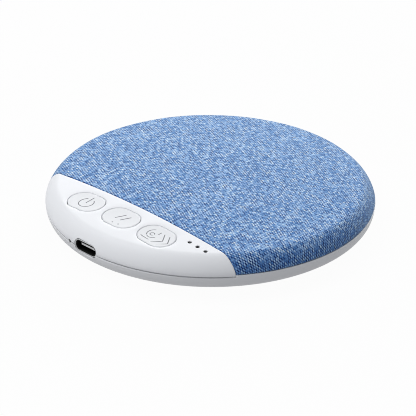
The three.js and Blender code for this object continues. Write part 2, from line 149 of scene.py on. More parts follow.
def upper_outline():
    radius = np.linspace(0, SHOULDER_START, 160)
    dome = np.column_stack([radius, CROWN_Z - DOME_DROP * radius ** 2])
    shoulder = conic(dome[-1], [RADIUS, SHOULDER_CORNER_Z], [RADIUS, BELLY_Z], SHOULDER_WEIGHT, 120)
    wall = [[RADIUS - 0.002, (BELLY_Z + SEAM_HIGH_Z) / 2], [RADIUS - 0.01, SEAM_HIGH_Z]]
    return Outline(np.vstack([dome, shoulder[1:], wall]), 1)


def lower_outline():
    flat = np.column_stack([np.linspace(0, FLAT_RADIUS, 12), np.full(12, UNDERSIDE_Z)])
    curve = conic(flat[-1], [RADIUS, UNDERSIDE_Z], [RADIUS, BELLY_Z], UNDERSIDE_WEIGHT, 160)
    return Outline(np.vstack([flat, curve[1:]]), -1)


UPPER = upper_outline()
LOWER = lower_outline()
PANEL_END = UPPER.end
HEM_END = UPPER.length_at_height(HEM_Z)


# ---------- loops and distances ----------

def evenly(loop, step):
    """A closed loop with its points about one step apart."""
    closed = np.vstack([loop, loop[:1]])
    along = np.concatenate([[0], np.cumsum(np.hypot(*np.diff(closed, axis=0).T))])
    count = max(12, int(round(along[-1] / step)))
    at = np.linspace(0, along[-1], count, endpoint=False)
    return np.stack([np.interp(at, along, column) for column in closed.T], axis=-1)


def inside(points, loop):
    x, y = points[:, 0:1], points[:, 1:2]
    x0, y0 = loop.T
    x1, y1 = np.roll(loop, -1, axis=0).T
    crosses = (y0 > y) != (y1 > y)
    rise = np.where(y1 == y0, 1, y1 - y0)
    return (crosses & (x < x0 + (y - y0) / rise * (x1 - x0))).sum(axis=1) % 2 == 1


# A round hole is a stadium longer than it is wide by this much.
SLIVER = 0.001


def even_stadium(length, width, grow, count):
    """A stadium loop with a set number of points, matched from one size to the next."""
    reach = (length - width) / 2
    radius = width / 2 + grow
    angle = np.linspace(-math.pi / 2, math.pi / 2, count // 2)
    right = np.column_stack([reach + radius * np.cos(angle), radius * np.sin(angle)])
    return np.vstack([right, -right])


def stadium(centre, length, width, grow, step):
    """A closed loop round a stadium, grown outwards by grow, with points about a step apart."""
    return evenly(even_stadium(length, width, grow, 80), step) + centre


def stadium_distance(points, centre, length, width):
    """How far points lie outside a stadium, negative inside it."""
    reach = (length - width) / 2
    offset = points - np.asarray(centre)
    along = np.abs(offset[:, 0]) - reach
    return np.hypot(np.maximum(along, 0), offset[:, 1]) - width / 2


def rolled(distance, radius):
    """How far a rounded edge drops the surface at a distance inside the edge."""
    short = np.clip(radius - distance, 0, radius)
    return radius - np.sqrt(radius ** 2 - short ** 2)


def path_distance(points, path):
    """The distance from points to an open path."""
    best = np.full(len(points), np.inf)
    for a, b in zip(path[:-1], path[1:]):
        run = b - a
        t = np.clip(((points - a) @ run) / max(run @ run, 1e-12), 0, 1)
        best = np.minimum(best, np.hypot(*(points - a - t[:, None] * run).T))
    return best


# ---------- meshes ----------

SHARP_ANGLE = math.radians(38)


def linked(name, data):
    """A new object of the scene."""
    obj = bpy.data.objects.new(name, data)
    bpy.context.scene.collection.objects.link(obj)
    return obj


def finish_edges(obj):
    obj.data.shade_smooth()
    obj.data.set_sharp_from_angle(angle=SHARP_ANGLE)


def mesh_object(name, points, faces):
    mesh = bpy.data.meshes.new(name)
    mesh.from_pydata((np.asarray(points) * MM).tolist(), [], [tuple(face) for face in faces])
    mesh.update()
    obj = linked(name, mesh)
    finish_edges(obj)
    return obj


def seed_points(boundary, step):
    low, high = boundary.min(axis=0), boundary.max(axis=0)
    rows = np.arange(low[1], high[1], step * 0.866)
    columns = np.arange(low[0], high[0], step)
    grid = [[x + (i % 2) * step / 2, y] for i, y in enumerate(rows) for x in columns]
    return np.array(grid)


def clear_of(points, loops, gap):
    """The points that keep a gap from every point of the loops."""
    crowd = np.vstack(loops)
    cells = {}
    for spot in crowd:
        cells.setdefault(tuple((spot // gap).astype(int)), []).append(spot)
    kept = []
    for point in points:
        i, j = (point // gap).astype(int)
        near = [s for a in (-1, 0, 1) for b in (-1, 0, 1) for s in cells.get((i + a, j + b), ())]
        if not near or np.hypot(*(np.array(near) - point).T).min() > gap:
            kept.append(point)
    return np.array(kept).reshape(-1, 2)


def triangulated(boundary, holes, rings, step):
    """Flat points and triangles that fill the boundary, keep out of the holes and follow the rings."""
    loops = [boundary, *holes, *rings]
    seeds = seed_points(boundary, step)
    seeds = seeds[inside(seeds, boundary)]
    seeds = clear_of(seeds, loops, step * 0.62)
    points = []
    edges = []
    for loop in loops:
        first = len(points)
        points += list(loop)
        edges += [(first + i, first + (i + 1) % len(loop)) for i in range(len(loop))]
    points += list(seeds)
    made = delaunay_2d_cdt([Vector(p) for p in points], edges, [], 0, 1e-6, False)
    flat = np.array([tuple(p) for p in made[0]])
    triangles = np.array(made[2])
    middle = flat[triangles].mean(axis=1)
    keep = inside(middle, boundary)
    for hole in holes:
        keep &= ~inside(middle, hole)
    triangles = triangles[keep]
    used, renumbered = np.unique(triangles, return_inverse=True)
    return flat[used], renumbered.reshape(-1, 3)


def skin(name, outline, boundary, holes, rings, height, step, thickness, straight_down=False):
    """A closed shell over the outline: a detailed outer face, a plain inner face and walls between."""
    flat, triangles = triangulated(boundary, holes, rings, step)
    flush = np.zeros(len(flat))
    surface = outline.place(flat, flush)
    outer = outline.place(flat, height(flat, surface))
    if straight_down:
        inner = outer - [0, 0, thickness]
        inner[:, 2] = surface[:, 2] - thickness
    else:
        inner = outline.place(flat, flush - thickness)
    count = len(flat)
    corners = outer[triangles]
    turn = np.cross(corners[:, 1] - corners[:, 0], corners[:, 2] - corners[:, 0])
    outward = outline.place(flat, flush + 1) - surface
    flipped = (turn * outward[triangles[:, 0]]).sum(axis=1) < 0
    triangles[flipped] = triangles[flipped][:, ::-1]
    edges = {}
    for a, b, c in triangles.tolist():
        for edge in ((a, b), (b, c), (c, a)):
            edges[edge] = True
    walls = [(b, a, a + count, b + count) for a, b in edges if (b, a) not in edges]
    faces = triangles.tolist() + (triangles[:, ::-1] + count).tolist() + walls
    obj = mesh_object(name, np.vstack([outer, inner]), faces)
    cloth = obj.data.attributes.new("cloth", "FLOAT_VECTOR", "POINT")
    doubled = np.vstack([flat, flat])
    cloth.data.foreach_set("vector", np.column_stack([doubled, np.zeros(2 * count)]).ravel())
    return obj


def lathe(name, profile, steps, centre=(0, 0)):
    """Revolves an anticlockwise [radius, z] profile about a vertical line. It ends on the axis or closes."""
    points = []
    rings = []
    for radius, z in profile:
        if radius < 1e-9:
            rings.append([len(points)] * steps)
            points.append([centre[0], centre[1], z])
            continue
        rings.append(list(range(len(points), len(points) + steps)))
        for k in range(steps):
            angle = 2 * math.pi * k / steps
            points.append([centre[0] + radius * math.cos(angle), centre[1] + radius * math.sin(angle), z])
    if profile[0][0] > 1e-9:
        rings.append(rings[0])
    faces = []
    for low, high in zip(rings[:-1], rings[1:]):
        for k in range(steps):
            j = (k + 1) % steps
            corners = [low[k], low[j], high[j], high[k]]
            faces.append([c for i, c in enumerate(corners) if c != corners[i - 1]])
    return mesh_object(name, points, faces)


def prism(name, loop, low, high):
    """An upright solid over a closed anticlockwise loop of the plan."""
    count = len(loop)
    points = [[x, y, z] for z in (low, high) for x, y in loop]
    walls = [(i, (i + 1) % count, (i + 1) % count + count, i + count) for i in range(count)]
    faces = [tuple(range(count))[::-1], tuple(range(count, 2 * count)), *walls]
    return mesh_object(name, points, faces)


def front_prism(name, loop, front_y, back_y):
    """A solid along Y over a closed anticlockwise loop of x and z, seen from the front."""
    count = len(loop)
    points = [[x, y, z] for y in (front_y, back_y) for x, z in loop]
    walls = [((i + 1) % count, i, i + count, (i + 1) % count + count) for i in range(count)]
    faces = [tuple(range(count)), tuple(range(count, 2 * count))[::-1], *walls]
    return mesh_object(name, points, faces)


def add_box(build, centre, size):
    made = bmesh.ops.create_cube(build, size=1)
    bmesh.ops.scale(build, vec=size, verts=made["verts"])
    bmesh.ops.translate(build, vec=centre, verts=made["verts"])


def bmesh_object(name, build):
    bmesh.ops.scale(build, vec=(MM, MM, MM), verts=build.verts)
    mesh = bpy.data.meshes.new(name)
    build.to_mesh(mesh)
    build.free()
    return linked(name, mesh)


def cad_copy(node, name):
    """A copy of a CAD node's mesh with its shared corners joined."""
    mesh = frame["nodes"][node].data.copy()
    build = bmesh.new()
    build.from_mesh(mesh)
    bmesh.ops.remove_doubles(build, verts=build.verts, dist=1e-7)
    build.to_mesh(mesh)
    build.free()
    mesh.materials.clear()
    return linked(name, mesh)


def settle(obj):
    """Applies an object's modifiers to its mesh."""
    graph = bpy.context.evaluated_depsgraph_get()
    mesh = bpy.data.meshes.new_from_object(obj.evaluated_get(graph))
    obj.modifiers.clear()
    obj.data = mesh


def combine(target, tool, operation):
    """Joins, cuts or intersects the target with a tool solid, which is used up."""
    step = target.modifiers.new("boolean", "BOOLEAN")
    step.operation = operation
    step.solver = "MANIFOLD"
    step.object = tool
    settle(target)
    bpy.data.objects.remove(tool)


def join(target, others):
    """Makes several objects one, keeping the target's name."""
    with bpy.context.temp_override(
        active_object=target, object=target, selected_objects=[target, *others],
        selected_editable_objects=[target, *others],
    ):
        bpy.ops.object.join()


# ---------- shader nodes ----------

class Shader:
    """A node material under construction."""

    def __init__(self, name, roughness=0.5, metallic=0.0):
        self.material = bpy.data.materials.new(name)
        self.material.use_nodes = True
        self.tree = self.material.node_tree
        self.surface = self.tree.nodes["Principled BSDF"]
        self.set("Roughness", roughness)
        self.set("Metallic", metallic)

    def add(self, kind, **settings):
        node = self.tree.nodes.new(kind)
        for key, value in settings.items():
            setattr(node, key, value)
        return node

    def feed(self, socket, value):
        if isinstance(value, bpy.types.NodeSocket):
            self.tree.links.new(value, socket)
        elif value is not None:
            socket.default_value = value

    def set(self, name, value):
        """Links or sets one input of the surface."""
        self.feed(self.surface.inputs[name], value)

    def feed_all(self, node, values):
        for key, value in values.items():
            self.feed(node.inputs[key], value)

    def math(self, operation, a, b=None, c=None):
        node = self.add("ShaderNodeMath", operation=operation)
        self.feed_all(node, {0: a, 1: b, 2: c})
        return node.outputs[0]

    def mix(self, share, a, b, blend="MIX"):
        node = self.add("ShaderNodeMix", data_type="RGBA", blend_type=blend)
        self.feed_all(node, {"Factor": share, 6: a, 7: b})
        return node.outputs[2]

    def product(self, a, b):
        return self.mix(1.0, a, b, "MULTIPLY")

    def spread(self, value, low, high):
        """Rescales 0 to 1 into low to high."""
        return self.math("MULTIPLY_ADD", value, high - low, low)

    def smooth(self, value, start, end):
        """0 at start and 1 at end, eased at both."""
        node = self.add("ShaderNodeMapRange", interpolation_type="SMOOTHSTEP")
        self.feed_all(node, {"Value": value, "From Min": start, "From Max": end})
        return node.outputs[0]

    def split(self, vector):
        node = self.add("ShaderNodeSeparateXYZ")
        self.feed(node.inputs[0], vector)
        return node.outputs

    def place(self):
        return self.add("ShaderNodeTexCoord").outputs["Object"]

    def noise(self, vector, scale, detail=2.0, roughness=0.5):
        node = self.add("ShaderNodeTexNoise")
        self.feed_all(node, {"Vector": vector, "Scale": scale, "Detail": detail, "Roughness": roughness})
        return node.outputs[0]

    def speckle(self, vector):
        node = self.add("ShaderNodeTexWhiteNoise", noise_dimensions="3D")
        self.feed(node.inputs["Vector"], vector)
        return node.outputs["Value"]

    def ramp(self, value, stops):
        node = self.add("ShaderNodeValToRGB")
        self.feed(node.inputs["Fac"], value)
        elements = node.color_ramp.elements
        while len(elements) < len(stops):
            elements.new(0.5)
        for element, (position, color) in zip(elements, stops):
            element.position = position
            element.color = (*color, 1)
        return node.outputs["Color"]

    def bump(self, height, depth, strength):
        node = self.add("ShaderNodeBump")
        self.feed_all(node, {"Height": height, "Distance": depth, "Strength": strength})
        self.set("Normal", node.outputs["Normal"])


def moulded(name, color, roughness, grain=900.0, specular=0.5):
    """Moulded plastic: a fine spark-eroded grain, faint colour drift and uneven gloss."""
    shader = Shader(name, roughness)
    place = shader.place()
    drift = shader.noise(place, 40.0, 3.0)
    darker = [c * 0.97 for c in color]
    shader.set("Base Color", shader.mix(drift, (*darker, 1), (*color, 1)))
    fine = shader.noise(place, grain, 3.0, 0.6)
    gloss = shader.noise(place, 160.0, 2.0)
    shader.set("Roughness", shader.spread(gloss, roughness - 0.05, roughness + 0.06))
    shader.set("Specular IOR Level", specular)
    shader.bump(fine, 0.00001, 0.5)
    return shader.material


def metal(name, color, roughness, brush=(900.0, 60.0, 900.0)):
    """Plated or drawn metal: fine directional scratches and uneven gloss."""
    shader = Shader(name, roughness, 1.0)
    place = shader.place()
    stretched = shader.add("ShaderNodeMapping")
    shader.feed_all(stretched, {"Vector": place, "Scale": brush})
    lines = shader.noise(stretched.outputs[0], 1.0, 4.0, 0.6)
    darker = [c * 0.88 for c in color]
    shader.set("Base Color", shader.mix(lines, (*darker, 1), (*color, 1)))
    shader.set("Roughness", shader.spread(lines, roughness - 0.07, roughness + 0.1))
    shader.bump(lines, 0.00001, 0.35)
    return shader.material


def rubbery(name, color, roughness=0.85, grain=700.0):
    """Rubber, foam or pressed paper: a coarse matt grain."""
    shader = Shader(name, roughness)
    place = shader.place()
    cells = shader.noise(place, grain, 4.0, 0.65)
    lighter = [min(1.0, c * 1.7 + 0.004) for c in color]
    shader.set("Base Color", shader.mix(cells, (*color, 1), (*lighter, 1)))
    shader.set("Roughness", shader.spread(cells, roughness - 0.1, min(1, roughness + 0.08)))
    shader.bump(cells, 0.00004, 0.7)
    return shader.material


WARP_PITCH = 0.95
WEFT_PITCH = 0.43
WOBBLE_SCALES = (0.3, 0.9)
WOBBLE_REACH = 0.4
# Painted shade: the cloth's colour darkens over a band before the hem and close to the chord's tuck,
# standing in for the shade there.
RIM_SHADE_WIDTH = 9.5
FULL_RIM_SHADE_WIDTH = 1.0
TUCK_SHADE_START = 0.9
TUCK_SHADE_END = 0.2
PLAIN = (1, 1, 1, 1)
SHADED_WEFT = (0.5, 0.66, 0.8, 1)
SHADED_WARP = (0.2, 0.32, 0.5, 1)
# Painted shade: the colour taken in the gaps between the threads.
THREAD_GAP_SHADE = (0.4, 0.46, 0.54, 1)


def woven():
    """Plain-woven melange cloth: navy warp along Y, pale slubby weft along X, in flat millimetres."""
    shader = Shader("woven_fabric", 0.9)
    cloth = shader.add("ShaderNodeAttribute", attribute_name="cloth").outputs["Vector"]
    thread_place = cloth
    for scale in WOBBLE_SCALES:
        wobble = shader.add("ShaderNodeTexNoise")
        shader.feed_all(wobble, {"Vector": cloth, "Scale": scale})
        nudge = shader.add("ShaderNodeVectorMath", operation="MULTIPLY_ADD")
        reach = (WOBBLE_REACH, WOBBLE_REACH, 0)
        shader.feed_all(nudge, {0: wobble.outputs["Color"], 1: reach, 2: thread_place})
        thread_place = nudge.outputs[0]
    x, y, _ = shader.split(thread_place)
    u = shader.math("DIVIDE", x, WARP_PITCH)
    v = shader.math("DIVIDE", y, WEFT_PITCH)
    column = shader.math("FLOOR", u)
    row = shader.math("FLOOR", v)
    across_u = shader.math("SUBTRACT", shader.math("SUBTRACT", u, column), 0.5)
    across_v = shader.math("SUBTRACT", shader.math("SUBTRACT", v, row), 0.5)
    warp_up = shader.math("FLOORED_MODULO", shader.math("ADD", column, row), 2.0)
    hill_u = shader.math("COSINE", shader.math("MULTIPLY", across_u, math.pi))
    hill_v = shader.math("COSINE", shader.math("MULTIPLY", across_v, math.pi))
    shape = shader.math("POWER", shader.math("MULTIPLY", hill_u, hill_v), 0.4)

    weft_tone = shader.noise(along(shader, x, 0.4, row, 3.7), 1.0, 1.0)
    warp_tone = shader.noise(along(shader, column, 4.1, y, 0.6), 1.0, 1.0)
    long_slubs = shader.noise(along(shader, x, 0.22, y, 0.8), 1.0, 2.0)
    cross_slubs = shader.noise(along(shader, x, 0.9, y, 0.3), 1.0, 2.0)
    cloud = shader.noise(cloth, 0.11, 2.0)
    cell = shader.speckle(along(shader, column, 1.0, row, 1.0))
    fibre = shader.noise(cloth, 5.0, 2.0, 0.7)

    drift = weighed(shader, -0.6, (long_slubs, 0.6), (cross_slubs, 0.35), (cloud, 0.25))
    weft_value = weighed(shader, -0.6, (weft_tone, 0.9), (cell, 0.9), (fibre, 0.25), (drift, 1.0))
    warp_value = weighed(shader, -0.6, (warp_tone, 0.9), (cell, 0.9), (fibre, 0.25), (drift, 1.0))
    weft_color = shader.ramp(weft_value, [
        (0.0, (0.1, 0.28, 0.62)),
        (0.5, (0.42, 0.62, 0.92)),
        (1.0, (0.82, 0.93, 1.0)),
    ])
    warp_color = shader.ramp(warp_value, [
        (0.0, (0.003, 0.045, 0.22)),
        (0.5, (0.07, 0.21, 0.52)),
        (1.0, (0.4, 0.62, 0.92)),
    ])
    # Painted shade: the weft and warp colours darken over the band before the hem and in the strip by the
    # chord's tuck.
    outward = shader.add("ShaderNodeVectorMath", operation="LENGTH")
    shader.feed(outward.inputs[0], cloth)
    rim_shade_end = HEM_END - FULL_RIM_SHADE_WIDTH
    rim = shader.smooth(outward.outputs["Value"], HEM_END - RIM_SHADE_WIDTH, rim_shade_end)
    depth = shader.split(shader.place())["Y"]
    tuck_shade = shader.smooth(depth, (CLOTH_Y + TUCK_SHADE_START) * MM, (CLOTH_Y + TUCK_SHADE_END) * MM)
    painted_shade = shader.math("MAXIMUM", rim, tuck_shade)
    weft_color = shader.product(weft_color, shader.mix(painted_shade, PLAIN, SHADED_WEFT))
    warp_color = shader.product(warp_color, shader.mix(painted_shade, PLAIN, SHADED_WARP))
    color = shader.mix(warp_up, weft_color, warp_color)
    # Painted shade: the colour darkens to blue-grey towards each thread's edge, where the gaps between
    # threads lie in shade.
    shaded = shader.product(color, shader.mix(shape, THREAD_GAP_SHADE, PLAIN))
    shader.set("Base Color", shaded)
    shader.set("Roughness", shader.spread(fibre, 0.82, 0.98))
    shader.set("Sheen Weight", 0.6)
    shader.set("Sheen Roughness", 0.4)
    shader.set("Sheen Tint", (0.6, 0.8, 1.0, 1))
    shader.set("Specular IOR Level", 0.2)
    shader.bump(shader.math("MULTIPLY_ADD", fibre, 0.25, shape), 0.00012, 0.8)
    return shader.material


def along(shader, a, a_scale, b, b_scale):
    """A flat vector of two scaled coordinates."""
    node = shader.add("ShaderNodeCombineXYZ")
    shader.feed_all(node, {0: shader.math("MULTIPLY", a, a_scale), 1: shader.math("MULTIPLY", b, b_scale)})
    return node.outputs[0]


def weighed(shader, start, *terms):
    """start plus each value times its weight."""
    total = start
    for value, weight in terms:
        total = shader.math("MULTIPLY_ADD", value, weight, total)
    return total


def circuit_board():
    """Green solder mask over copper traces."""
    shader = Shader("circuit_board", 0.4)
    place = shader.place()
    traces = shader.add("ShaderNodeTexBrick")
    shader.feed_all(traces, {
        "Vector": place,
        "Scale": 420.0,
        "Mortar Size": 0.06,
        "Color1": (0.008, 0.075, 0.035, 1),
        "Color2": (0.01, 0.1, 0.045, 1),
        "Mortar": (0.03, 0.19, 0.085, 1),
    })
    shader.set("Base Color", traces.outputs["Color"])
    shader.set("Roughness", shader.spread(shader.noise(place, 300.0), 0.32, 0.5))
    shader.bump(traces.outputs["Fac"], 0.00003, 0.5)
    return shader.material


WHITE = (0.84, 0.85, 0.87)
MATERIALS = {
    "white_plastic": moulded("white_plastic", WHITE, 0.5, specular=0.3),
    "lower_plastic": moulded("lower_plastic", (0.79, 0.795, 0.81), 0.5, specular=0.4),
    "button_plastic": moulded("button_plastic", (0.78, 0.79, 0.805), 0.55, specular=0.25),
    "icon_ink": moulded("icon_ink", (0.2, 0.205, 0.22), 0.55),
    "woven_fabric": woven(),
    "dark_plastic": moulded("dark_plastic", (0.025, 0.026, 0.03), 0.5),
    "chip_black": moulded("chip_black", (0.02, 0.02, 0.022), 0.6, 1500.0),
    "smoked_plastic": moulded("smoked_plastic", (0.004, 0.004, 0.005), 0.5, specular=0.1),
    "led_body": moulded("led_body", (0.8, 0.74, 0.5), 0.3),
    "circuit_board": circuit_board(),
    "steel": metal("steel", (0.56, 0.57, 0.58), 0.3),
    "tongue_plastic": moulded("tongue_plastic", (0.95, 0.95, 0.95), 0.4),
    "socket_black": moulded("socket_black", (0.004, 0.004, 0.004), 0.6, specular=0.1),
    "foil": metal("foil", (0.62, 0.63, 0.64), 0.35, (400.0, 400.0, 400.0)),
    "black_rubber": rubbery("black_rubber", (0.012, 0.012, 0.013)),
    "capacitor_case": moulded("capacitor_case", (0.5, 0.33, 0.08), 0.45),
    "connector_plastic": moulded("connector_plastic", (0.7, 0.63, 0.46), 0.5),
    "spider_cloth": rubbery("spider_cloth", (0.4, 0.3, 0.15), 0.9, 1200.0),
    "foam": rubbery("foam", (0.03, 0.03, 0.032), 0.9, 2000.0),
    "cone_paper": rubbery("cone_paper", (0.02, 0.02, 0.022), 0.75, 900.0),
    "copper": metal("copper", (0.66, 0.3, 0.14), 0.35, (60.0, 60.0, 6000.0)),
    "red_wire": moulded("red_wire", (0.36, 0.02, 0.015), 0.45),
    "black_wire": moulded("black_wire", (0.014, 0.014, 0.016), 0.45),
    "brass": metal("brass", (0.62, 0.45, 0.2), 0.35),
}


def finish_piece(obj, slot, nodes, body="housing", extra=()):
    """Gives a new piece its material and its body, and hides the CAD nodes it stands in for."""
    obj.data.materials.clear()
    for name in (slot, *extra):
        obj.data.materials.append(MATERIALS[name])
    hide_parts(*nodes)
    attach(obj, body)


# ---------- the socket and pinhole, seen from the front ----------

USB_LOW, USB_HIGH = node_box("usb_c_shell")
USB_CENTRE = (USB_LOW + USB_HIGH) / 2
USB_WIDTH = USB_HIGH[0] - USB_LOW[0]
USB_HEIGHT = USB_HIGH[2] - USB_LOW[2]
SOCKET_CENTRE = np.array([USB_CENTRE[0], USB_CENTRE[2]])
PORT_CENTRE = SOCKET_CENTRE - [0, 0.1]
PORT_WIDTH = 10.7
PORT_HEIGHT = 4.4
BOOT_LOW, BOOT_HIGH = node_box("microphone_boot")
PINHOLE = np.array([(BOOT_LOW[0] + BOOT_HIGH[0]) / 2, 8.0])
PINHOLE_WIDTH = 1.3
PORT_DEPTH = 9
PINHOLE_DEPTH = 5


def port_loop(grow, step):
    return stadium(PORT_CENTRE, PORT_WIDTH, PORT_HEIGHT, grow, step)


def pinhole_loop(grow, step):
    return stadium(PINHOLE, PINHOLE_WIDTH + SLIVER, PINHOLE_WIDTH, grow, step)


def port_cutter(grow=0.0):
    return front_prism("port", port_loop(grow, 0.15), -RADIUS - 2, -RADIUS + PORT_DEPTH)


def pinhole_cutter(grow=0.0):
    return front_prism("pinhole", pinhole_loop(grow, 0.12), -RADIUS - 2, -RADIUS + PINHOLE_DEPTH)


# ---------- buttons ----------

BUTTONS = ("power", "mode", "sound")
CAP_LENGTH = 13.7
CAP_WIDTH = 9.8
CAP_GAP = 0.33
CAP_SINK = 0.12
CAP_SKIN = 1.3
CAP_ROLL = 0.3
DISH_DEPTH = 0.16
INK_DEPTH = 0.05
INK_SLOPE = 0.05
STROKE = 0.36


def arc(centre, radius, start, end, count=24):
    angle = np.radians(np.linspace(start, end, count))
    return np.array(centre) + radius * np.column_stack([np.cos(angle), np.sin(angle)])


def power_glyph():
    ring = arc((0.3, -0.3), 2.6, 125, 415, 60)
    return [(ring, STROKE), (np.array([[0.3, -0.4], [0.3, 3.2]]), STROKE)]


def mode_glyph():
    slant = np.array([1.8, 3.1])
    strokes = [(np.array([start, start + slant]), STROKE) for start in np.array([[-1.7, -1.0], [0.7, -1.0]])]
    dots = [(np.array([spot, spot + [0.05, 0.05]]), 0.5) for spot in np.array([[-0.4, -3.6], [2.0, -3.3]])]
    return strokes + dots


def sound_glyph():
    core = arc((-2.0, 0.0), 0.75, 20, 330, 20)
    left = arc((-1.6, 0.3), 2.4, 120, 225, 20)
    lower = arc((-1.7, -0.1), 1.9, 235, 335, 16)
    base = np.array([[-4.3, -2.9], [-0.7, -3.1]])
    tick = np.array([[-0.1, 1.0], [-0.1, 2.3]])
    chevrons = [np.array([[x, -3.5], [x + 2.7, -0.8], [x + 0.6, 2.3]]) for x in (0.9, 3.2)]
    return [(path, STROKE * 0.9) for path in (core, left, lower, base, tick, *chevrons)]


GLYPHS = {"power": power_glyph(), "mode": mode_glyph(), "sound": sound_glyph()}


def stroke_outline(path, half_width):
    """A closed loop at half_width round an open path, with round ends and mitred corners."""
    runs = np.diff(path, axis=0)
    runs /= np.hypot(*runs.T)[:, None]
    sides = np.column_stack([-runs[:, 1], runs[:, 0]])
    middle = sides[:-1] + sides[1:]
    middle *= 2 / np.maximum((middle ** 2).sum(axis=1), 0.5)[:, None]
    offsets = np.vstack([sides[:1], middle, sides[-1:]]) * half_width
    turn = np.linspace(0, math.pi, 7)[1:-1]

    def round_end(spot, side):
        angle = math.atan2(side[1], side[0]) - turn
        return spot + half_width * np.column_stack([np.cos(angle), np.sin(angle)])

    end_cap = round_end(path[-1], sides[-1])
    start_cap = round_end(path[0], -sides[0])
    return np.vstack([path + offsets, end_cap, (path - offsets)[::-1], start_cap])


def button_cap(use):
    centre, _, low_z, high_z = node_round(f"{use}_button")
    glyph = [(path + centre, width / 2) for path, width in GLYPHS[use]]

    def stroke_reach(points):
        """How far inside the nearest stroke a point lies."""
        return np.max([half - path_distance(points, path) for path, half in glyph], axis=0)

    def height(flat, placed):
        points = placed[:, :2]
        inward = -stadium_distance(points, centre, CAP_LENGTH, CAP_WIDTH)
        centred = np.clip(inward / (CAP_WIDTH / 2), 0, 1)
        dish = DISH_DEPTH * (1 - (1 - centred) ** 2)
        groove = INK_DEPTH * np.clip(stroke_reach(points) / INK_SLOPE, 0, 1)
        return -CAP_SINK - rolled(inward, CAP_ROLL) - dish - groove

    size = (CAP_LENGTH, CAP_WIDTH)
    boundary = UPPER.unwrap(stadium(centre, *size, 0, 0.28))
    rings = [UPPER.unwrap(stadium(centre, *size, -d, 0.3)) for d in (0.04, 0.12, 0.22, 0.32, 0.6)]
    for path, half in glyph:
        rings.append(UPPER.unwrap(stroke_outline(path, half)))
        rings.append(UPPER.unwrap(stroke_outline(path, half - INK_SLOPE)))
    cap = skin(f"{use}_button_cap", UPPER, boundary, [], rings, height, 0.4, CAP_SKIN, True)
    stem = cad_copy(f"{use}_button", "stem")
    keep = prism("keep", stadium(centre, CAP_LENGTH + 4, CAP_WIDTH + 4, 0, 1.0), low_z - 1, low_z + 2.2)
    combine(stem, keep, "INTERSECT")
    combine(cap, stem, "UNION")
    finish_edges(cap)
    finish_piece(cap, "button_plastic", [f"{use}_button"], f"{use}_key", ("icon_ink",))
    middles = np.array([polygon.center for polygon in cap.data.polygons]) / MM
    inked = (stroke_reach(middles[:, :2]) > 0) & (middles[:, 2] > high_z - 1)
    cap.data.polygons.foreach_set("material_index", inked.astype(np.int32))


# ---------- control panel and upper housing ----------

PANEL_SKIN = 1.2
CHORD_ROLL = 0.2
SEAM_ROLL = 0.22
OPENING_ROLL = 0.22
PORT_ROLL = 0.2
LIGHT_ROLL = 0.06
PINHOLE_ROLL = 0.15
LIP_DEPTH = 0.13
LIP_WIDTH = 0.9
WALL_HIGH_Z = 12
CUT_CLEARANCE = 0.02
LIGHT_RADIUS = 0.72
LIGHT_Y = -35.9
LIGHT_X = [27, 30.65, 34.3]


def chord_line(chord_y, end_length, step=0.35):
    """Flat points of the chord's run over the disc, from the left end to the right end."""
    shortest = UPPER.length_at_radius(abs(chord_y))
    count = int((end_length - shortest) / step) + 2
    bend = np.linspace(0, 1, count) ** 2
    s = shortest + (end_length - shortest) * bend
    radius = UPPER.at(s)[:, 0]
    across = np.sqrt(np.maximum(radius ** 2 - chord_y ** 2, 0))
    right = np.column_stack([s * across / radius, s * chord_y / radius])
    left = right[::-1] * [-1, 1]
    return np.vstack([left[:-1], right])


def rim_arc(s, start, end, step):
    """Flat points of an arc at length s, from angle start to angle end."""
    count = max(8, int(abs(end - start) * s / step))
    angle = np.linspace(start, end, count)[1:-1]
    return s * np.column_stack([np.cos(angle), np.sin(angle)])


def panel_loop(inset):
    """The panel's edge, moved inwards by inset: chord from left to right, then the rim back."""
    s = PANEL_END - inset
    line = chord_line(CHORD_Y - inset, s)
    start = math.atan2(line[-1][1], line[-1][0])
    end = -math.pi - start
    return np.vstack([line, rim_arc(s, start, end, 0.4)])


